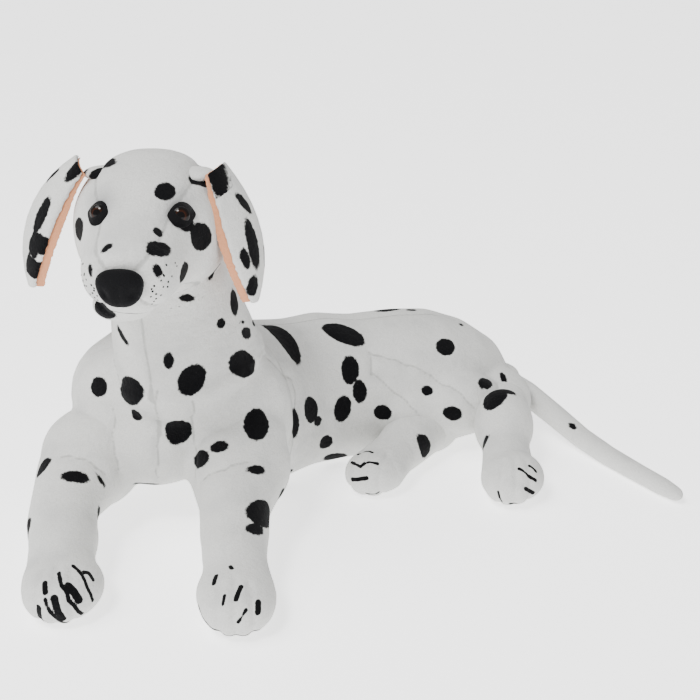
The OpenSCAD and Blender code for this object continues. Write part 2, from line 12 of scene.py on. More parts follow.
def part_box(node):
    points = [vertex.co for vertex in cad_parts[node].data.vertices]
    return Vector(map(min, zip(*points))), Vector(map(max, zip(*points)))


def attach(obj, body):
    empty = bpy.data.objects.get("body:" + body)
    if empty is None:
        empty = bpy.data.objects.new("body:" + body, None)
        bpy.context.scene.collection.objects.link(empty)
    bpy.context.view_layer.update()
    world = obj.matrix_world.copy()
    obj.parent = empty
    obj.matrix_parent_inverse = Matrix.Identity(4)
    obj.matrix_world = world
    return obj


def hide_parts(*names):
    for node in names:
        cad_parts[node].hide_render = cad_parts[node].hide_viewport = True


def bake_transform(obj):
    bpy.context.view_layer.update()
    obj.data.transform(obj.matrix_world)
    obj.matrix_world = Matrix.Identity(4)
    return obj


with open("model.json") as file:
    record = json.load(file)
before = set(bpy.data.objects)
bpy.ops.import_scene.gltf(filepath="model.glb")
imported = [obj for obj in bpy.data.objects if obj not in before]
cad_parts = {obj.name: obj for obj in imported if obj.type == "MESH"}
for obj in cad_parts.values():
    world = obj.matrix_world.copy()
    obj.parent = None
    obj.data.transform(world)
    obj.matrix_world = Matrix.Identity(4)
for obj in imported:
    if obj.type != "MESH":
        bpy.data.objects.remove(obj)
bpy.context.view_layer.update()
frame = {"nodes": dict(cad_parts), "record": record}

MM = 0.001
UP = Vector((0, 0, 1))

RECORD = frame["record"]
BODIES = RECORD["behaviour"]["bodies"]
JOINTS = {j["name"]: j for j in RECORD["behaviour"]["joints"]}
SLOTS = {s["node"]: s["material_slot"] for s in RECORD["subparts"]}


def pivot(joint):
    return Vector(JOINTS[joint]["pos_m"])


def axis(joint):
    return Vector(JOINTS[joint]["axis"])


NECK_UP = axis("neck_turn")
NECK_BASE = pivot("neck_turn")
SKULL = pivot("head_nod")
HEAD_LEFT = axis("head_nod")
HEAD_FRONT = axis("ear_left_lift")
HEAD_UP = HEAD_LEFT.cross(-HEAD_FRONT)


# ---- Meshes -------------------------------------------------------------
def covers(body):
    """The plush panels of a body."""
    return [n for n in BODIES[body] if SLOTS[n] == "spotted_plush"]


def fillings(body):
    """The fibre fillings of a body."""
    return [n for n in BODIES[body] if SLOTS[n] == "fibre_fill"]


def add_nodes(bm, nodes):
    """Merged copies of CAD nodes."""
    for name in nodes:
        bm.from_mesh(frame["nodes"][name].data)
    bmesh.ops.remove_doubles(bm, verts=bm.verts, dist=0.01 * MM)


def add_swell(bm, centre, radii, along=UP):
    """A stuffed bulge: radii are across, across and along, in millimetres."""
    turn = UP.rotation_difference(along).to_matrix().to_4x4()
    size = Matrix.Diagonal((*[r * MM for r in radii], 1))
    bmesh.ops.create_uvsphere(
        bm, u_segments=32, v_segments=16, radius=1, matrix=Matrix.Translation(centre) @ turn @ size)


def make_object(name, bm):
    mesh = bpy.data.meshes.new(name)
    bm.to_mesh(mesh)
    bm.free()
    obj = bpy.data.objects.new(name, mesh)
    bpy.context.scene.collection.objects.link(obj)
    return obj


def bake_modifiers(obj):
    """The object's mesh becomes what its modifiers make of it."""
    graph = bpy.context.evaluated_depsgraph_get()
    mesh = bpy.data.meshes.new_from_object(obj.evaluated_get(graph))
    obj.modifiers.clear()
    old = obj.data
    obj.data = mesh
    mesh.name = obj.name
    bpy.data.meshes.remove(old)


def stuff(obj, voxel, smoothing):
    """One closed skin over everything in the mesh, with its creases relaxed."""
    remesh = obj.modifiers.new("skin", "REMESH")
    remesh.mode = "VOXEL"
    remesh.voxel_size = voxel * MM
    smooth = obj.modifiers.new("relax", "SMOOTH")
    smooth.factor = 0.5
    smooth.iterations = smoothing
    bake_modifiers(obj)


def refine(obj):
    division = obj.modifiers.new("refine", "SUBSURF")
    division.levels = division.render_levels = 1
    bake_modifiers(obj)
    rest_on_floor(obj.data)
    obj.data.shade_smooth()


def points_of(mesh):
    points = np.empty(len(mesh.vertices) * 3, np.float32)
    mesh.vertices.foreach_get("co", points)
    return points.reshape(-1, 3).astype(float)


def normals_of(mesh):
    normals = np.empty(len(mesh.vertices) * 3, np.float32)
    mesh.vertex_normals.foreach_get("vector", normals)
    return normals.reshape(-1, 3).astype(float)


def move_along_normals(mesh, distance):
    points = points_of(mesh) + normals_of(mesh) * distance[:, None]
    mesh.vertices.foreach_set("co", points.astype(np.float32).ravel())
    mesh.update()


def set_attribute(mesh, name, values):
    attribute = mesh.attributes.get(name) or mesh.attributes.new(name, "FLOAT", "POINT")
    attribute.data.foreach_set("value", values.astype(np.float32))


# ---- Seams, folds and paws ----------------------------------------------
SEAM_REACH = 30 * MM
# How deep the skin sinks along a seam and how far it rises again, in millimetres, and over what width.
SEAM_DEPTH = 2.1
PANEL_RISE = 3.9
SEAM_SLOPE = 7 * MM
# No seam is drawn on a swell that stands further than this from every panel.
PANEL_NEAR = 6 * MM
# Soft unevenness of the stuffing: its height in millimetres and its size.
FOLD_HEIGHT = 0.9
FOLD_SIZE = 46 * MM
LINE_STEP = 8 * MM
FLOOR_GAP = 0.2 * MM
SEWN_PANELS = [
    ["chest_cover_left"], ["chest_cover_right"], ["belly_panel"],
    ["waist_cover_left", "rump_cover_left"], ["waist_cover_right", "rump_cover_right"],
    ["neck_cover_left"], ["neck_cover_right"],
    ["head_gusset"], ["head_side_left"], ["head_side_right"], ["chin_panel"],
    ["front_leg_outer_left", "front_leg_inner_left"],
    ["front_leg_outer_right", "front_leg_inner_right"],
]


def panel_distance(points, nodes):
    """How far each point is from a panel, up to the reach of a seam."""
    bm = bmesh.new()
    add_nodes(bm, nodes)
    tree = BVHTree.FromBMesh(bm)
    bm.free()
    low = np.min([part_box(n)[0] for n in nodes], axis=0) - SEAM_REACH
    high = np.max([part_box(n)[1] for n in nodes], axis=0) + SEAM_REACH
    distance = np.full(len(points), SEAM_REACH)
    for i in np.flatnonzero(np.all((points > low) & (points < high), axis=1)):
        found = tree.find_nearest(points[i], SEAM_REACH)[3]
        if found is not None:
            distance[i] = found
    return distance


def seam_distance(points, nodes):
    """A seam runs where two panels meet, so it is as far away as the second nearest panel."""
    panels = [p for p in SEWN_PANELS if p[0] in nodes]
    distances = np.sort([panel_distance(points, p) for p in panels], axis=0)
    gap = np.where(distances[0] > PANEL_NEAR, SEAM_REACH, distances[1] - distances[0])
    return np.clip(gap, 0, SEAM_REACH)


def line_distance(points, line):
    """Distance to a line through the given places, in metres."""
    nearest = np.full(len(points), 1.0)
    for a, b in zip(line, line[1:]):
        a, b = np.array(a, float), np.array(b, float)
        t = np.clip((points - a) @ (b - a) / ((b - a) @ (b - a)), 0, 1)
        nearest = np.minimum(nearest, np.linalg.norm(points - a - t[:, None] * (b - a), axis=1))
    return nearest


def laid_on(points, line):
    """A line of places in millimetres, laid on the nearest places of a surface."""
    line = np.array(line) * MM
    laid = []
    for a, b in zip(line, line[1:]):
        pieces = max(1, int(np.linalg.norm(b - a) / LINE_STEP))
        laid += [a + (b - a) * k / pieces for k in range(pieces)]
    laid.append(line[-1])
    return [points[np.argmin(np.linalg.norm(points - place, axis=1))] for place in laid]


def puff(obj, nodes, extra_seams=()):
    """The stuffing swells each panel between its seams and leaves the seams drawn in."""
    mesh = obj.data
    points = points_of(mesh)
    seam = seam_distance(points, nodes) if extra_seams else np.full(len(points), SEAM_REACH)
    for line in extra_seams:
        seam = np.minimum(seam, line_distance(points, laid_on(points, line)))
    swell = -SEAM_DEPTH + PANEL_RISE * (1 - np.exp(-seam / SEAM_SLOPE))
    folds = np.array([noise.noise(Vector(p) / FOLD_SIZE) for p in points])
    move_along_normals(mesh, (swell + FOLD_HEIGHT * folds) * MM)
    set_attribute(mesh, "seam", seam / MM)


def rest_on_floor(mesh):
    """Stuffing that would sink into the floor lies flat on it."""
    points = points_of(mesh)
    points[:, 2] = np.maximum(points[:, 2], FLOOR_GAP)
    mesh.vertices.foreach_set("co", points.astype(np.float32).ravel())
    mesh.update()


# The toes are looked for in the part of a leg beyond this share of its reach.
PAW_SHARE = 0.85


def leg_direction(body, root):
    """The level direction of a leg and the place of its toes."""
    points = np.concatenate([points_of(frame["nodes"][n].data) for n in covers(body)])
    reach = np.linalg.norm(points - np.array(root), axis=1)
    far = points[reach > PAW_SHARE * reach.max()].mean(axis=0)
    d = Vector((far[0] - root.x, far[1] - root.y, 0)).normalized()
    return np.array(d), (points @ np.array(d)).max()


TOE_SPREAD = 17 * MM
TOE_LENGTH = 36 * MM
# The lines fan out towards the tip, and the outer two are a little shorter.
TOE_FAN = 1.15
TOE_CLOSING = 0.35
OUTER_TOE = 0.9
FRONT_TOE_WIDTH = 3.5 * MM
HIND_TOE_WIDTH = 3 * MM
FRONT_TOE_DEPTH = 2.6 * MM
HIND_TOE_DEPTH = 2.2 * MM
PAW_MARGIN = 20 * MM
PAW_HALF_WIDTH = 60 * MM


def toe_lines(points, body, root):
    """Distance to the three lines that part the toes, fanned out towards the floor."""
    d, tip = leg_direction(body, root)
    side = np.array((-d[1], d[0], 0))
    behind = tip - points @ d
    across = (points - np.array(root)) @ side
    near = (behind < TOE_LENGTH + PAW_MARGIN) & (behind > -PAW_MARGIN)
    near &= np.abs(across) < PAW_HALF_WIDTH
    paw = points[near]
    middle = (((paw - np.array(root)) @ side).min() + ((paw - np.array(root)) @ side).max()) / 2
    nearest = np.full(len(points), 1.0)
    for k in (-1, 0, 1):
        fan = TOE_FAN - TOE_CLOSING * np.clip(behind / TOE_LENGTH, 0, 1)
        off = np.abs(across - middle - k * TOE_SPREAD * fan)
        past = np.maximum(behind - TOE_LENGTH * (OUTER_TOE if k else 1.0), 0)
        nearest = np.where(near, np.minimum(nearest, np.hypot(off, past)), nearest)
    return nearest


# ---- Markings -----------------------------------------------------------
# Each spot is (x, y, z, width, height, tilt) in millimetres and degrees, as it lies on the cover.
HEAD_SPOTS = [
    (-179, -242, 448, 46, 18, 20), (-109, -303, 432, 24, 20, 30), (-78, -264, 434, 30, 16, -25),
    (-88, -316, 399, 21, 14, 5), (-76, -305, 384, 34, 29, -25), (-112, -346, 400, 12, 11, 0),
    (-109, -367, 389, 29, 20, -10), (-108, -385, 371, 10, 14, 15), (-89, -340, 356, 26, 21, 0),
    (-98, -272, 308, 18, 9, -10), (-70, -252, 331, 8, 22, -30), (-202, -296, 390, 26, 24, 0),
    (-158, -378, 393, 13, 9, 60), (-174, -358, 324, 36, 30, 35), (-174, -384, 372, 6, 12, 20),
    (-135, -160, 430, 34, 26, 15), (-100, -150, 390, 24, 30, 0), (-175, -165, 395, 30, 22, 40),
    (-210, -235, 350, 18, 24, 10), (-150, -150, 350, 22, 20, 0),
]
NECK_SPOTS = [
    (-53, -218, 286, 30, 20, 60), (-66, -246, 270, 12, 11, 0), (-41, -211, 246, 25, 14, -15),
    (-45, -213, 260, 12, 3, -15), (-36, -175, 245, 20, 8, -20), (-121, -266, 234, 20, 12, 85),
    (-99, -262, 210, 40, 29, 60), (-47, -228, 215, 44, 31, -25), (-176, -246, 255, 26, 9, -45),
    (-120, -95, 270, 30, 24, 20), (-170, -130, 285, 26, 20, -30), (-200, -175, 262, 22, 30, 10),
    (-85, -110, 300, 18, 16, 0),
]
CHEST_SPOTS = [
    (-214, -212, 181, 25, 23, -20), (-172, -242, 187, 42, 34, 20), (-164, -236, 159, 16, 15, 75),
    (-119, -244, 141, 33, 31, 55), (-92, -266, 114, 30, 22, 20), (-70, -268, 130, 22, 15, 15),
    (-30, -243, 146, 40, 30, 65), (10, -136, 103, 18, 40, 0), (-160, -236, 66, 30, 12, 0),
    (-229, -291, 104, 32, 15, -25), (-204, -275, 92, 5, 17, 15), (-26, -290, 112, 24, 12, -20),
    (-8, -112, 22, 34, 20, -20), (-260, -150, 150, 30, 36, 0), (-250, -90, 190, 26, 20, 30),
    (-255, -95, 90, 24, 34, 10), (-160, -60, 232, 40, 26, 50), (-215, -20, 200, 28, 24, 0),
    (-95, -30, 236, 24, 30, 20),
]
BODY_SPOTS = [
    (-6, -60, 188, 86, 32, 60), (70, -14, 178, 60, 36, -50), (78, -49, 139, 38, 25, 80),
    (91, -54, 112, 31, 20, -85), (29, -104, 107, 38, 28, -65), (35, -91, 86, 19, 13, -30),
    (68, -67, 92, 36, 24, 80), (46, -72, 47, 25, 20, -50), (58, -45, 14, 40, 20, -20),
    (120, -45, 78, 26, 20, -30), (129, 92, 177, 42, 26, 20), (164, 94, 173, 16, 10, 65),
    (207, 16, 148, 30, 25, 10), (180, -24, 100, 16, 14, 0), (215, -37, 74, 26, 20, -15),
    (232, 75, 157, 10, 6, -5), (259, -8, 104, 28, 18, -5), (288, 22, 100, 25, 9, 85),
    (60, 80, 186, 36, 28, 40), (-40, 40, 190, 30, 22, -30),
    (-20, 90, 120, 34, 28, 0), (-80, 60, 90, 26, 34, 20), (50, 140, 130, 30, 24, 10),
    (120, 150, 150, 24, 32, 0), (150, 190, 90, 36, 28, -20), (220, 170, 130, 28, 24, 0),
    (70, 150, 50, 28, 20, 15), (-120, 20, 40, 24, 20, 0), (250, 150, 70, 24, 30, 10),
    (290, 110, 130, 22, 18, 0),
]
FRONT_LEG_SPOTS = [
    (-15, -330, 80, 50, 33, -25), (-25, -358, 73, 26, 14, -30),
    (-284, -330, 55, 22, 34, 0), (-207, -292, 53, 16, 26, 0),
    (-275, -270, 110, 20, 26, 10), (0, -260, 60, 26, 22, 0), (-104, -350, 40, 18, 14, 0),
]
HIND_SPOTS = [
    (268, -46, 100, 46, 34, -35), (284, -34, 103, 30, 20, 0), (251, -82, 50, 12, 26, 0),
    (176, -72, 42, 36, 24, -70), (318, -20, 50, 18, 28, 0), (310, -90, 30, 16, 18, 0),
    (120, -110, 36, 14, 12, 0),
]
TAIL_SPOTS = [(383, 7, 36, 14, 8, -30)]
EAR_SPOTS = {
    "left": [
        (-63, -268, 446, 36, 13, -40), (-34, -259, 409, 12, 30, 35), (-25, -267, 366, 19, 56, 5),
        (-33, -279, 354, 12, 24, 20), (-26, -271, 321, 16, 24, 0), (-22, -215, 400, 26, 30, 0),
        (-24, -225, 340, 28, 24, 0), (-34, -215, 438, 24, 18, 0),
    ],
    "right": [
        (-200, -259, 451, 26, 15, 10), (-182, -262, 449, 30, 15, 20), (-249, -266, 398, 16, 44, -20),
        (-248, -273, 366, 24, 22, 0), (-260, -266, 362, 16, 24, 0), (-257, -265, 336, 22, 26, -20),
        (-256, -210, 405, 26, 30, 0), (-266, -215, 345, 24, 28, 0), (-236, -215, 440, 26, 18, 0),
    ],
}
# Inked strokes on the paws and the mouth: width in millimetres, then the places it passes through.
STROKES = {
    "head": [(0.6, [(-170, -366, 320), (-156, -376, 321), (-141, -378, 322), (-123, -366, 319),
                    (-112, -348, 318)])],
    "front_leg_right": [
        (2.6, [(-210, -409, 60), (-200, -419, 52), (-193, -427, 45), (-188, -427, 29)]),
        (3.4, [(-199, -413, 54), (-194, -411, 53), (-189, -415, 47)]),
        (3.0, [(-221, -422, 56), (-217, -435, 50), (-208, -444, 39), (-196, -438, 16)]),
        (7.0, [(-210, -434, 51), (-200, -437, 36)]), (4.5, [(-234, -433, 51), (-232, -441, 46)]),
        (2.8, [(-231, -444, 41), (-229, -446, 28), (-214, -438, 10)]),
        (7.0, [(-223, -444, 41), (-216, -443, 20)]), (5.5, [(-240, -445, 31), (-237, -438, 13)]),
    ],
    "front_leg_left": [
        (4.0, [(-60, -427, 58), (-60, -439, 55)]), (3.0, [(-46, -416, 61), (-43, -419, 59)]),
        (4.0, [(-32, -447, 56), (-35, -459, 48)]), (5.0, [(-14, -458, 46), (-15, -464, 37)]),
        (2.2, [(-48, -457, 54), (-49, -465, 47)]), (2.2, [(-26, -466, 43), (-34, -467, 30)]),
        (3.4, [(-76, -440, 30), (-66, -455, 22), (-50, -462, 12), (-15, -458, 12)]),
    ],
    "hind_leg_right": [
        (3.0, [(88, -120, 54), (105, -124, 54)]), (2.6, [(81, -130, 45), (92, -143, 45), (97, -141, 47)]),
        (2.6, [(102, -142, 49), (112, -145, 50)]), (4.0, [(82, -146, 30), (99, -153, 36)]),
        (2.4, [(100, -149, 13), (113, -149, 13)]),
    ],
    "hind_leg_left": [
        (3.0, [(287, -163, 52), (297, -168, 45), (308, -169, 39)]),
        (2.6, [(301, -156, 52), (308, -160, 48)]), (4.0, [(293, -180, 33), (304, -171, 23)]),
        (3.0, [(276, -177, 14), (284, -176, 10)]), (2.0, [(261, -177, 28), (266, -177, 15)]),
    ],
}
HIP_SEAMS = [
    [(104, -25, 155), (107, -43, 130)],
    [(104, -25, 155), (147, -20, 140), (187, -14, 119), (226, -30, 98), (248, -48, 80)],
    [(107, -41, 133), (129, -39, 110), (147, -35, 96), (171, -43, 69)],
]
SHOULDER_SEAMS = [
    [(-17, -172, 202), (7, -117, 155), (11, -124, 139), (9, -138, 101), (3, -159, 79)],
    [(-249, -266, 118), (-223, -268, 117), (-199, -268, 95)],
    [(-92, -288, 97), (-62, -294, 116), (-36, -284, 120)],
]
BIB_SEAMS = [
    [(-141, -262, 196), (-142, -258, 150), (-143, -258, 110), (-145, -250, 80)],
    [(-197, -225, 156), (-196, -239, 126), (-189, -253, 94)],
    [(-98, -264, 182), (-101, -247, 129), (-101, -269, 94)],
]


# Distances from a spot are kept up to this many millimetres.
SPOT_REACH = 60.0
# A spot belongs to a cover that comes within this distance, and faces as its closest part does.
COVER_NEAR = 14 * MM
SPOT_CORE = 6 * MM
# A spot wraps round the cover to this share of its size, and not onto pile that faces away.
SPOT_WRAP = 0.7
FACING_AWAY = -0.3
# Inked strokes fade over a narrower edge than airbrushed spots.
STROKE_SHARPNESS = 2.5
STROKE_INSET = 0.7


def spot_distance(points, normals, spots):
    """Signed distance to the nearest spot's edge in millimetres, negative inside."""
    field = np.full(len(points), SPOT_REACH)
    for x, y, z, width, height, tilt in spots:
        gap = np.linalg.norm(points - np.array((x, y, z)) * MM, axis=1)
        home = np.argmin(gap)
        if gap[home] > COVER_NEAR:
            continue
        n = normals[gap < gap[home] + SPOT_CORE].mean(axis=0)
        n /= np.linalg.norm(n)
        u = np.cross((0, 0, 1), n)
        u /= max(np.linalg.norm(u), 1e-6)
        v = np.cross(n, u)
        t = math.radians(tilt)
        away = (points - points[home]) / MM
        across = away @ (math.cos(t) * u + math.sin(t) * v)
        along = away @ (math.cos(t) * v - math.sin(t) * u)
        reach = np.hypot(across / (width / 2), along / (height / 2))
        edge = (reach - 1) * min(width, height) / 2
        fits = (np.abs(away @ n) < SPOT_WRAP * max(width, height)) & (normals @ n > FACING_AWAY)
        field = np.where(fits, np.minimum(field, edge), field)
    return field


def mark(obj, spots, strokes=()):
    """Writes how far each place is from the nearest black pile."""
    mesh = obj.data
    points, normals = points_of(mesh), normals_of(mesh)
    field = spot_distance(points, normals, spots)
    for width, line in strokes:
        away = line_distance(points, laid_on(points, line)) / MM
        field = np.minimum(field, STROKE_SHARPNESS * (away - width / 2 - STROKE_INSET))
    set_attribute(mesh, "spots", np.clip(field, -SPOT_REACH, SPOT_REACH))


# ---- Materials ----------------------------------------------------------
def linear(code, alpha=1.0):
    """An sRGB hex colour as linear values."""
    parts = [int(code[i:i + 2], 16) / 255 for i in (1, 3, 5)]
    return (*[c / 12.92 if c <= 0.04045 else ((c + 0.055) / 1.055) ** 2.4 for c in parts], alpha)


def add(tree, kind, inputs=None, **settings):
    """Adds a node with its settings; an input is a value or the socket that feeds it."""
    made = tree.nodes.new(kind)
    for name, value in settings.items():
        setattr(made, name, value)
    for name, value in (inputs or {}).items():
        if isinstance(value, bpy.types.NodeSocket):
            tree.links.new(value, made.inputs[name])
        else:
            made.inputs[name].default_value = value
    return made


def start_material(name):
    material = bpy.data.materials.new(name)
    material.use_nodes = True
    tree = material.node_tree
    tree.nodes.clear()
    place = add(tree, "ShaderNodeTexCoord").outputs["Object"]
    return material, tree, place


def finish_material(tree, **inputs):
    shader = add(tree, "ShaderNodeBsdfPrincipled", inputs)
    add(tree, "ShaderNodeOutputMaterial", {"Surface": shader.outputs["BSDF"]})


def grain(tree, place, size_mm, detail=2.0):
    """Noise whose lumps are about the given size."""
    return add(tree, "ShaderNodeTexNoise",
               {"Vector": place, "Scale": 1 / (size_mm * MM), "Detail": detail}).outputs["Fac"]


def blend_colour(tree, factor, first, second):
    mix = add(tree, "ShaderNodeMix", data_type="RGBA")
    for socket, value in ((mix.inputs[0], factor), (mix.inputs[6], first), (mix.inputs[7], second)):
        if isinstance(value, bpy.types.NodeSocket):
            tree.links.new(value, socket)
        else:
            socket.default_value = value
    return mix.outputs[2]


def ramp_between(tree, value, low, high, start=0.0, end=1.0):
    return add(tree, "ShaderNodeMapRange", {
        "Value": value, "From Min": low, "From Max": high, "To Min": start, "To Max": end},
        interpolation_type="SMOOTHSTEP").outputs["Result"]


def maths(tree, operation, a, b):
    made = add(tree, "ShaderNodeMath", operation=operation)
    for socket, value in ((made.inputs[0], a), (made.inputs[1], b)):
        if isinstance(value, bpy.types.NodeSocket):
            tree.links.new(value, socket)
        else:
            socket.default_value = value
    return made.outputs[0]


def pile_bump(tree, place, pile_mm, clump_mm, strength):
    """Tufts of pile over softer clumps, as heights in metres."""
    tufts = maths(tree, "MULTIPLY", grain(tree, place, pile_mm, 3.0), 0.7 * MM)
    clumps = maths(tree, "MULTIPLY", grain(tree, place, clump_mm, 3.0), 1.6 * MM)
    height = maths(tree, "ADD", tufts, clumps)
    return add(tree, "ShaderNodeBump",
               {"Height": height, "Strength": strength, "Distance": 1.0}).outputs["Normal"]


def spotted_plush():
    """Knitted polyester plush, short pile, black spots airbrushed on: chalky, with soft edges."""
    material, tree, place = start_material("spotted_plush")
    distance = add(tree, "ShaderNodeAttribute", attribute_name="spots").outputs["Fac"]
    seam = add(tree, "ShaderNodeAttribute", attribute_name="seam").outputs["Fac"]
    shade = add(tree, "ShaderNodeAttribute", attribute_name="shade").outputs["Fac"]
    ragged = maths(tree, "MULTIPLY", maths(tree, "SUBTRACT", grain(tree, place, 5, 4.0), 0.5), 4.0)
    tufted = maths(tree, "MULTIPLY", maths(tree, "SUBTRACT", grain(tree, place, 1.4), 0.5), 2.2)
    edge = maths(tree, "ADD", distance, maths(tree, "ADD", ragged, tufted))
    black_share = ramp_between(tree, edge, -0.7, 1.1, 1.0, 0.0)
    white = blend_colour(tree, grain(tree, place, 1.6, 3.0), linear("#B2B2AF"), linear("#DADAD7"))
    white = blend_colour(tree, ramp_between(tree, grain(tree, place, 38), 0.45, 0.75, 0.0, 0.35),
                         white, linear("#AEAFAE"))
    # Painted shade in the seam grooves: within about 2.4 mm of a seam the white pile is mixed towards
    # grey #767673.
    white = blend_colour(tree, ramp_between(tree, seam, 0.2, 2.4, 0.45, 0.0), white, linear("#767673"))
    white = blend_colour(tree, shade, white, linear("#6E6E70"))
    black = blend_colour(tree, grain(tree, place, 1.4), linear("#020203"), linear("#0E0E10"))
    colour = blend_colour(tree, black_share, white, black)
    finish_material(tree, **{
        "Base Color": colour, "Roughness": 0.95, "Specular IOR Level": 0.08,
        "Sheen Weight": 0.03, "Sheen Roughness": 0.5,
        "Normal": pile_bump(tree, place, 1.3, 7, 0.9)})
    return material


def pile_fabric(name, dark, light, pile_mm, sheen):
    """A plain velour: the pile's tips catch the light and its roots stay darker."""
    material, tree, place = start_material(name)
    colour = blend_colour(tree, grain(tree, place, pile_mm, 3.0), linear(dark), linear(light))
    finish_material(tree, **{
        "Base Color": colour, "Roughness": 0.9, "Specular IOR Level": 0.12,
        "Sheen Weight": sheen, "Sheen Roughness": 0.4,
        "Normal": pile_bump(tree, place, pile_mm, 6, 0.5)})
    return material


# Where the painted pupil ends, the iris is shaded and the iris ends, from the middle of the eye.
PUPIL_EDGE = (4.0 * MM, 4.6 * MM)
IRIS_SHADING = (4.2 * MM, 7.6 * MM)
IRIS_EDGE = (7.4 * MM, 8.0 * MM)


def moulded_eye(name, centre, facing):
    """Clear acrylic over a painted brown iris and black pupil: glossy, with one sharp highlight."""
    material, tree, place = start_material(name)
    turn = facing.rotation_difference(UP).to_euler()
    shift = -(turn.to_matrix() @ centre)
    flat = add(tree, "ShaderNodeMapping", {"Vector": place, "Location": shift, "Rotation": turn})
    parts = add(tree, "ShaderNodeSeparateXYZ", {"Vector": flat.outputs["Vector"]})
    squares = [maths(tree, "POWER", parts.outputs[k], 2.0) for k in ("X", "Y")]
    radius = maths(tree, "SQRT", maths(tree, "ADD", *squares), 0.0)
    iris = blend_colour(tree, ramp_between(tree, radius, *IRIS_SHADING),
                        linear("#2A1206"), linear("#080402"))
    colour = blend_colour(tree, ramp_between(tree, radius, *PUPIL_EDGE), linear("#050404"), iris)
    colour = blend_colour(tree, ramp_between(tree, radius, *IRIS_EDGE), colour, linear("#050505"))
    finish_material(tree, **{
        "Base Color": colour, "Roughness": 0.06, "IOR": 1.49, "Specular IOR Level": 0.2})
    return material


def moulded_washer():
    """Moulded polyethylene: slightly waxy, with a fine orange-peel skin."""
    material, tree, place = start_material("moulded_polyethylene")
    colour = blend_colour(tree, grain(tree, place, 3), linear("#121213"), linear("#1D1D1F"))
    height = maths(tree, "MULTIPLY", grain(tree, place, 0.8), 0.05 * MM)
    bump = add(tree, "ShaderNodeBump", {"Height": height, "Strength": 0.4, "Distance": 1.0})
    finish_material(tree, **{
        "Base Color": colour, "Roughness": 0.45, "IOR": 1.5, "Normal": bump.outputs["Normal"]})
    return material


PLUSH = spotted_plush()
LINING = pile_fabric("ear_velour", "#B0704C", "#D59A76", 1.2, 0.4)
NOSE_PILE = pile_fabric("nose_velour", "#020203", "#101012", 1.0, 0.03)
FIBRE = pile_fabric("polyester_fibre", "#E2E2DE", "#FBFBF8", 3.0, 0.3)
WASHER = moulded_washer()


def dress(obj, material):
    obj.data.materials.clear()
    obj.data.materials.append(material)


# ---- The skin of the torso, neck, head and front legs -------------------
FRONT_LEGS = {
    "front_leg_left": pivot("front_leg_left_lift"), "front_leg_right": pivot("front_leg_right_lift")}
HIND_LEGS = {
    "hind_leg_left": pivot("hind_leg_left_lift"), "hind_leg_right": pivot("hind_leg_right_swing")}
SKIN_BODIES = ["torso", "neck", "head", *FRONT_LEGS]
TAIL_ROOT = pivot("tail_swing")
# Where the stuffing stands out: place, then radii across, along and upward, in millimetres.
SWELLS = {
    "torso": [
        ((218, 4, 74), (68, 44, 42)), ((148, -2, 66), (62, 44, 44)),
        ((-150, -212, 106), (62, 44, 46)), ((-45, -215, 112), (48, 46, 50)),
        ((-118, -223, 184), (66, 36, 46)),
    ],
    "head": [((-154, -328, 320), (33, 31, 17))],
    "front_leg_right": [((-224, -402, 31), (43, 44, 31)), ((-236, -338, 45), (35, 62, 39))],
    "front_leg_left": [((-45, -415, 30), (37, 44, 30)), ((-48, -350, 43), (34, 62, 39))],
    "hind_leg_right": [((106, -126, 29), (33, 30, 28))],
    "hind_leg_left": [((284, -138, 30), (37, 40, 29)), ((282, -40, 58), (38, 50, 46))],
}


# How far the stuffing fills the sockets round the joints, in millimetres.
FRONT_SOCKET = 60
HIND_SOCKET = 44
TAIL_SOCKET = 24
NECK_SOCKET = (91, 91, 36)
# The skull is a ball round the nodding joint, a little below it.
SKULL_RADIUS = 78
SKULL_DROP = 14 * MM


def add_swells(bm, body):
    for place, radii in SWELLS.get(body, ()):
        add_swell(bm, Vector(place) * MM, radii)


def build_skin():
    bm = bmesh.new()
    nodes = [n for body in SKIN_BODIES for n in covers(body)]
    add_nodes(bm, nodes)
    add_nodes(bm, [n for body in SKIN_BODIES for n in fillings(body)])
    for root in FRONT_LEGS.values():
        add_swell(bm, root, [FRONT_SOCKET] * 3)
    for root in HIND_LEGS.values():
        add_swell(bm, root, (HIND_SOCKET, HIND_SOCKET, min(HIND_SOCKET, root.z / MM)))
    add_swell(bm, TAIL_ROOT, [TAIL_SOCKET] * 3)
    add_swell(bm, NECK_BASE, NECK_SOCKET, NECK_UP)
    add_swell(bm, SKULL - SKULL_DROP * NECK_UP, [SKULL_RADIUS] * 3)
    for body in SKIN_BODIES:
        add_swells(bm, body)
    skin = make_object("skin", bm)
    stuff(skin, voxel=4, smoothing=24)
    puff(skin, nodes, HIP_SEAMS + SHOULDER_SEAMS + BIB_SEAMS)
    points = points_of(skin.data)
    toes = np.full(len(points), 1.0)
    for body, root in FRONT_LEGS.items():
        toes = np.minimum(toes, toe_lines(points, body, root))
    move_along_normals(skin.data, -FRONT_TOE_DEPTH * np.exp(-(toes / FRONT_TOE_WIDTH) ** 2))
    refine(skin)
    return skin


# The CAD eyes' dome height, and how far they face outwards and upwards.
EYE_DOME = 6 * MM
EYE_OUT = math.radians(14)
EYE_RISE = math.radians(25)
# The sewn eyes sit this much nearer the dog's left.
EYE_SHIFT = 5 * MM
EYE_FACING = {
    side: (HEAD_FRONT + sign * math.tan(EYE_OUT) * HEAD_LEFT + math.tan(EYE_RISE) * HEAD_UP).normalized()
    for side, sign in (("left", 1), ("right", -1))}


def eye_place(side, facing):
    """The middle of an eye's dome: its highest point, brought down by the dome's height."""
    points = points_of(frame["nodes"]["eye_" + side].data)
    top = points[np.argmax(points @ np.array(facing))]
    return Vector(top) - EYE_DOME * facing


EYES = {side: eye_place(side, facing) for side, facing in EYE_FACING.items()}


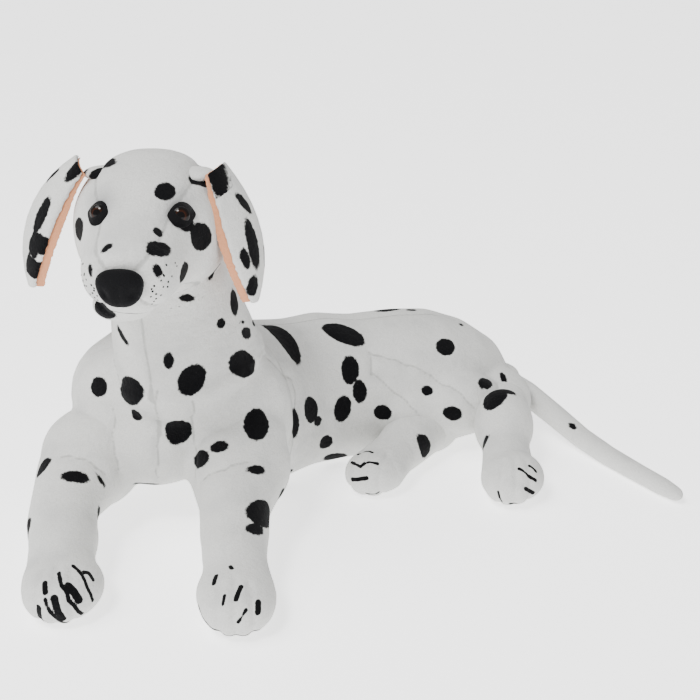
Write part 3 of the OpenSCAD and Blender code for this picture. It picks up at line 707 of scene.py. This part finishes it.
# The grey airbrushing: how far above the eyes, how far across, up and forward in millimetres, how dark.
SHADE_RISE = 8 * MM
SHADE_ACROSS = 20
SHADE_UP = 15
SHADE_FORWARD = 30
SHADE_STRENGTH = 0.65


def shade_face(skin):
    """Grey airbrushing above and round the eyes."""
    points = points_of(skin.data)
    shade = np.zeros(len(points))
    for side, centre in EYES.items():
        away = (points - np.array(centre + EYE_SHIFT * HEAD_LEFT + SHADE_RISE * HEAD_UP)) / MM
        across, high = away @ np.array(HEAD_LEFT), away @ np.array(HEAD_UP)
        depth = away @ np.array(HEAD_FRONT)
        near = np.exp(
            -(across / SHADE_ACROSS) ** 2 - (high / SHADE_UP) ** 2 - (depth / SHADE_FORWARD) ** 2)
        shade = np.maximum(shade, SHADE_STRENGTH * near)
    set_attribute(skin.data, "shade", shade)


# How far along the neck and the front legs the skin is cut.
NECK_CUT = 44 * MM
HEAD_CUT = 112 * MM
LEG_CUT = 40 * MM
# The front legs' pieces lie below this height and within this distance to the side of a cut.
LEG_TOP = 165 * MM
LEG_REACH = 80 * MM


def cut_skin(skin):
    """Cuts the skin at the joints into closed pieces that keep the whole skin's normals."""
    cuts = [(NECK_BASE + NECK_CUT * NECK_UP, NECK_UP), (NECK_BASE + HEAD_CUT * NECK_UP, NECK_UP)]
    legs = {}
    for body, root in FRONT_LEGS.items():
        d = Vector(leg_direction(body, root)[0])
        legs[body] = (root + LEG_CUT * d, d)
    bm = bmesh.new()
    bm.from_mesh(skin.data)
    for place, direction in cuts + list(legs.values()):
        bmesh.ops.bisect_plane(
            bm, geom=bm.verts[:] + bm.edges[:] + bm.faces[:], plane_co=place, plane_no=direction)
    bm.normal_update()
    whole = bpy.data.meshes.new("cut_skin")
    bm.to_mesh(whole)
    whole.shade_smooth()
    normals = normals_of(whole)
    piece_of = np.zeros(len(bm.faces), int)
    names = ["torso", "neck", "head", *legs]
    for i, face in enumerate(bm.faces):
        centre = face.calc_center_median()
        height = (centre - NECK_BASE).dot(NECK_UP)
        if height > HEAD_CUT:
            piece_of[i] = 2
        elif height > NECK_CUT:
            piece_of[i] = 1
        elif centre.z < LEG_TOP:
            for k, (place, direction) in enumerate(legs.values()):
                own_side = abs(centre.x - place.x) < LEG_REACH
                if own_side and (centre - place).dot(direction) > 0:
                    piece_of[i] = 3 + k
    bm.free()
    pieces = {name: take_piece(whole, normals, piece_of, i, name) for i, name in enumerate(names)}
    bpy.data.meshes.remove(whole)
    skin_mesh = skin.data
    bpy.data.objects.remove(skin)
    bpy.data.meshes.remove(skin_mesh)
    return pieces, legs


def take_piece(whole, normals, piece_of, index, name):
    """One piece of the cut skin with its open ends closed."""
    bm = bmesh.new()
    bm.from_mesh(whole)
    home = bm.verts.layers.int.new("home")
    for v in bm.verts:
        v[home] = v.index
    away = [f for f in bm.faces if piece_of[f.index] != index]
    bmesh.ops.delete(bm, geom=away, context="FACES")
    bmesh.ops.remove_doubles(bm, verts=bm.verts, dist=0.02 * MM)
    rims = [e for e in bm.edges if e.is_boundary]
    caps = bmesh.ops.holes_fill(bm, edges=rims, sides=0)["faces"]
    bmesh.ops.triangulate(bm, faces=caps)
    for face in bm.faces:
        face.smooth = True
    homes = np.array([v[home] for v in bm.verts])
    obj = make_object(name + "_skin", bm)
    obj.data.attributes.remove(obj.data.attributes["home"])
    obj.data.normals_split_custom_set_from_vertices([Vector(normals[i]) for i in homes])
    return obj


skin = build_skin()
mark(skin, HEAD_SPOTS + NECK_SPOTS + CHEST_SPOTS + BODY_SPOTS + FRONT_LEG_SPOTS,
     [stroke for body in SKIN_BODIES for stroke in STROKES.get(body, ())])
shade_face(skin)
SKIN_TREE = BVHTree.FromPolygons(
    [v.co.copy() for v in skin.data.vertices], [tuple(p.vertices) for p in skin.data.polygons])
skins, leg_cuts = cut_skin(skin)
for body, piece in skins.items():
    dress(piece, PLUSH)
    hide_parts(*covers(body), *fillings(body))
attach(skins["torso"], "torso")
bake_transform(skins["neck"])
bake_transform(skins["head"])
for body, (place, direction) in leg_cuts.items():
    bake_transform(skins[body])


def build_limb(body, root, spots, toes):
    """A stuffed limb: its covers, filling and swells in one skin, marked with its spots and strokes."""
    bm = bmesh.new()
    nodes = covers(body)
    add_nodes(bm, nodes + fillings(body))
    add_swells(bm, body)
    limb = make_object(body + "_skin", bm)
    stuff(limb, voxel=3, smoothing=8)
    if toes:
        points = points_of(limb.data)
        puff(limb, nodes)
        gap = toe_lines(points, body, root)
        move_along_normals(limb.data, -HIND_TOE_DEPTH * np.exp(-(gap / HIND_TOE_WIDTH) ** 2))
    else:
        count = len(limb.data.vertices)
        set_attribute(limb.data, "seam", np.full(count, SEAM_REACH / MM))
    refine(limb)
    mark(limb, spots, STROKES.get(body, ()))
    set_attribute(limb.data, "shade", np.zeros(len(limb.data.vertices)))
    dress(limb, PLUSH)
    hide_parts(*nodes, *fillings(body))
    d = Vector(leg_direction(body, root)[0])
    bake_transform(limb)
    return limb


for body, root in HIND_LEGS.items():
    build_limb(body, root, HIND_SPOTS, True)
build_limb("tail", TAIL_ROOT, TAIL_SPOTS, False)


# ---- Ears ---------------------------------------------------------------
# The stuffed fold where an ear is sewn in: how far inward and below its joint, and how big.
FOLD_INWARD = 14 * MM
FOLD_BELOW = 11 * MM
FOLD_RADII = (21, 16, 7)
# The lining reaches its full thickness this far below the joint.
LINING_FULLNESS = 9 * MM
LINING_TAPER = 50 * MM


def build_ear(side, sign):
    """A flat stuffed flap, folded over where it is sewn into the head, lined with velour."""
    root = pivot(f"ear_{side}_lift")
    for layer, voxel, material, slot in (
            ("cover", 2, PLUSH, "spotted_plush"), ("lining", 1.4, LINING, "ear_lining")):
        bm = bmesh.new()
        node = f"ear_{layer}_{side}"
        add_nodes(bm, [node])
        if layer == "cover":
            fold = root - FOLD_INWARD * sign * HEAD_LEFT - FOLD_BELOW * HEAD_UP
            add_swell(bm, fold, FOLD_RADII, HEAD_UP)
        ear = make_object(node + "_flap", bm)
        stuff(ear, voxel, smoothing=6)
        if layer == "cover":
            refine(ear)
            mark(ear, EAR_SPOTS[side])
            count = len(ear.data.vertices)
            set_attribute(ear.data, "seam", np.full(count, SEAM_REACH / MM))
            set_attribute(ear.data, "shade", np.zeros(count))
        else:
            pad_lining(ear, root, sign)
            refine(ear)
        dress(ear, material)
        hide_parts(node)
        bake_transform(ear)


def pad_lining(ear, root, sign):
    """The lining stands fuller than the cover on the side towards the head."""
    inward = -sign * np.array(HEAD_LEFT)
    facing = np.clip(normals_of(ear.data) @ inward, 0, 1) ** 0.5
    below = np.clip((root.z - points_of(ear.data)[:, 2]) / LINING_TAPER, 0, 1)
    points = points_of(ear.data) + (LINING_FULLNESS * facing * below)[:, None] * inward
    ear.data.vertices.foreach_set("co", points.astype(np.float32).ravel())
    smooth = ear.modifiers.new("relax", "SMOOTH")
    smooth.factor = 0.5
    smooth.iterations = 14
    bake_modifiers(ear)


build_ear("left", 1)
build_ear("right", -1)


# ---- Face ---------------------------------------------------------------
EYE_RADIUS = 9.6 * MM
EYE_HEIGHT = 5.2 * MM
RIM_ACROSS = 14 * MM
RIM_HIGH = 12.5 * MM
RIM_POINTED = 0.45
RIM_STANDS = 1.1 * MM
RIM_THICKNESS = 2 * MM
NOSE_ACROSS = 24.5 * MM
NOSE_UP = 19.5 * MM
NOSE_FORWARD = 13 * MM
NOSE_TAPER = 0.3
# Nostrils and cleft, as shares of the nose's half width, half height and depth.
NOSTRIL_OUT = 0.52
NOSTRIL_BELOW = 0.1
NOSTRIL_WIDE = 0.16
NOSTRIL_TALL = 0.2
NOSTRIL_DEPTH = 0.28
CLEFT_WIDE = 0.07
CLEFT_TOP = 0.3
CLEFT_DEPTH = 0.1
# Whisker stitches, in millimetres from the middle of the nose: each column lies further out and up.
STITCH_ROWS = 4
STITCH_COLUMNS = 6
FIRST_STITCH_OUT = 25
FIRST_STITCH_UP = -26
COLUMN_OUT = 5.2
COLUMN_UP = 6
ROW_UP = 6.5
STITCHES_TOP = 16 * MM


def on_skin(place, lift):
    """The nearest place on the skin, lifted off it."""
    found, normal = SKIN_TREE.find_nearest(place)[:2]
    return found + lift * normal


def eye_frame(side):
    """The middle of an eye on the skin, and its directions across and up."""
    facing = (EYE_FACING[side] + 0.25 * HEAD_FRONT).normalized()
    across = (HEAD_LEFT - HEAD_LEFT.dot(facing) * facing).normalized()
    high = across.cross(facing)
    high *= math.copysign(1, high.dot(HEAD_UP))
    return on_skin(EYES[side] + EYE_SHIFT * HEAD_LEFT, 0), facing, across, high


def build_eye(side):
    """A moulded dome with a rounded edge that beds into the pile."""
    centre, facing, across, high = eye_frame(side)
    bm = bmesh.new()
    steps = 14
    rim = [(0, -5), (0.7, -5), (0.95, -2)]
    profile = [(EYE_RADIUS * r, z * MM) for r, z in rim]
    for k in range(1, steps + 1):
        t = math.pi / 2 * k / steps
        profile.append((EYE_RADIUS * math.cos(t), EYE_HEIGHT * math.sin(t)))
    verts = [bm.verts.new(centre + r * across + z * facing) for r, z in profile]
    edges = [bm.edges.new(pair) for pair in zip(verts, verts[1:])]
    bmesh.ops.spin(
        bm, geom=verts + edges, cent=centre, axis=facing, angle=2 * math.pi, steps=48, use_merge=True)
    bmesh.ops.remove_doubles(bm, verts=bm.verts, dist=0.01 * MM)
    bmesh.ops.recalc_face_normals(bm, faces=bm.faces)
    eye = make_object(f"eye_dome_{side}", bm)
    eye.data.shade_smooth()
    dress(eye, moulded_eye("acrylic_eye_" + side, centre, facing))
    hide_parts("eye_" + side)
    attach(eye, "head")


def eye_rim(side):
    """A black felt almond between the eye and the pile."""
    centre, facing, across, high = eye_frame(side)
    bm = bmesh.new()
    bmesh.ops.create_circle(bm, cap_ends=True, segments=48, radius=1)
    for v in bm.verts:
        a, b = v.co.x, v.co.y
        narrow = 1 - RIM_POINTED * abs(a) ** 3
        target = centre + RIM_ACROSS * a * across + RIM_HIGH * b * narrow * high
        found, normal = SKIN_TREE.ray_cast(target + 30 * MM * facing, -facing)[:2]
        v.co = found + RIM_STANDS * normal
    bmesh.ops.recalc_face_normals(bm, faces=bm.faces)
    bmesh.ops.solidify(bm, geom=bm.faces[:], thickness=RIM_THICKNESS)
    rim = make_object(f"eye_rim_{side}", bm)
    rim.data.shade_smooth()
    dress(rim, NOSE_PILE)
    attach(rim, "head")


def build_nose():
    """A wide rounded pad with two stitched nostrils."""
    low, high = (Vector(c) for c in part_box("nose_pad"))
    centre = (low + high) / 2
    bm = bmesh.new()
    bmesh.ops.create_uvsphere(bm, u_segments=64, v_segments=48, radius=1)
    for v in bm.verts:
        x, y, z = v.co
        wide = abs(x) ** 0.8 * math.copysign(1, x)
        tall = abs(z) ** 0.8 * math.copysign(1, z)
        taper = 1.04 - NOSE_TAPER * ((1 - tall) / 2) ** 1.5
        dent = sum(math.exp(-((x - s * NOSTRIL_OUT) / NOSTRIL_WIDE) ** 2
                            - ((z + NOSTRIL_BELOW) / NOSTRIL_TALL) ** 2) for s in (-1, 1))
        cleft = math.exp(-(x / CLEFT_WIDE) ** 2) * (z < CLEFT_TOP)
        front = -y * (1 - NOSTRIL_DEPTH * dent - CLEFT_DEPTH * cleft) if y < 0 else -y
        v.co = (centre + NOSE_ACROSS * wide * taper * HEAD_LEFT + NOSE_UP * tall * HEAD_UP
                + NOSE_FORWARD * front * HEAD_FRONT)
    bmesh.ops.recalc_face_normals(bm, faces=bm.faces)
    nose = make_object("nose_pad_sewn", bm)
    nose.data.shade_smooth()
    dress(nose, NOSE_PILE)
    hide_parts("nose_pad")
    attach(nose, "head")


def whisker_dots():
    """Slanting rows of short black stitches on both sides of the muzzle."""
    low, high = (Vector(c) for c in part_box("nose_pad"))
    nose = (low + high) / 2
    bm = bmesh.new()
    for sign in (-1, 1):
        for row in range(STITCH_ROWS):
            for column in range(STITCH_COLUMNS):
                uneven = 2 * (row % 2) + 1.5 * math.sin(7 * row + 3 * column)
                away = (FIRST_STITCH_OUT + COLUMN_OUT * column + uneven) * MM
                uneven = 2 * math.sin(5 * row + 2 * column)
                rise = (FIRST_STITCH_UP + COLUMN_UP * column + ROW_UP * row + uneven) * MM
                start = nose + 0.1 * HEAD_FRONT + sign * away * HEAD_LEFT + rise * HEAD_UP
                found, normal = SKIN_TREE.ray_cast(start, -HEAD_FRONT)[:2]
                if found is None or rise > STITCHES_TOP or (start - found).length > 0.16:
                    continue
                turn = UP.rotation_difference(normal).to_matrix().to_4x4()
                size = Matrix.Diagonal(((1.0 + 0.5 * (column % 2)) * MM, 1.3 * MM, 0.6 * MM, 1))
                bmesh.ops.create_icosphere(
                    bm, subdivisions=1, radius=1, matrix=Matrix.Translation(found) @ turn @ size)
    dots = make_object("whisker_stitches", bm)
    dress(dots, NOSE_PILE)
    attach(dots, "head")


for side in ("left", "right"):
    eye_rim(side)
    build_eye(side)
    dress(frame["nodes"]["eye_washer_" + side], WASHER)
build_nose()
whisker_dots()
for name, node in frame["nodes"].items():
    if SLOTS[name] == "fibre_fill":
        dress(node, FIBRE)


# ---- Floor, light and camera --------------------------------------------
FLOOR_HALF_WIDTH = 12
FLOOR_DROP = 0.5 * MM
LIGHTS_AIM = Vector((0, -0.1, 0.15))
# Each light: its name, kind, place, size and power.
LIGHTS = (("key", "AREA", (-0.9, -2.0, 2.6), 0.8, 75), ("sky", "SUN", (-1.4, -0.7, 2.6), 0.6, 1.9))
CAMERA_PLACE = (0.078, -1.505, 0.697)
CAMERA_PITCH = math.radians(70)
CAMERA_LENS = 61.7


def build_studio():
    bm = bmesh.new()
    below = Matrix.Translation((0, 0, -FLOOR_DROP))
    bmesh.ops.create_grid(bm, x_segments=1, y_segments=1, size=FLOOR_HALF_WIDTH, matrix=below)
    floor = make_object("floor", bm)
    material, tree, place = start_material("painted_floor")
    colour = blend_colour(tree, grain(tree, place, 400), linear("#FAFAFA"), linear("#FFFFFF"))
    finish_material(tree, **{
        "Base Color": colour, "Roughness": 0.9, "Specular IOR Level": 0.1,
        "Emission Color": linear("#FFFFFF"), "Emission Strength": 1.5})
    floor.data.materials.append(material)
    world = bpy.context.scene.world or bpy.data.worlds.new("studio")
    bpy.context.scene.world = world
    world.use_nodes = True
    background = world.node_tree.nodes["Background"]
    background.inputs["Color"].default_value = linear("#FFFFFF")
    background.inputs["Strength"].default_value = 0.75
    for name, kind, place, size, power in LIGHTS:
        light = bpy.data.lights.new(name, kind)
        light.energy = power
        if kind == "AREA":
            light.shape = "DISK"
            light.size = size
        else:
            light.angle = size
        lamp = bpy.data.objects.new(name, light)
        bpy.context.scene.collection.objects.link(lamp)
        lamp.location = place
        lamp.rotation_euler = (LIGHTS_AIM - lamp.location).to_track_quat("-Z", "Y").to_euler()


def build_camera():
    """A little above the dog, in front of it, looking down by 20 degrees."""
    data = bpy.data.cameras.new("camera")
    data.lens = CAMERA_LENS
    data.sensor_width = 36
    camera = bpy.data.objects.new("camera", data)
    bpy.context.scene.collection.objects.link(camera)
    camera.location = CAMERA_PLACE
    camera.rotation_euler = (CAMERA_PITCH, 0, 0)
    bpy.context.scene.camera = camera


build_studio()
build_camera()
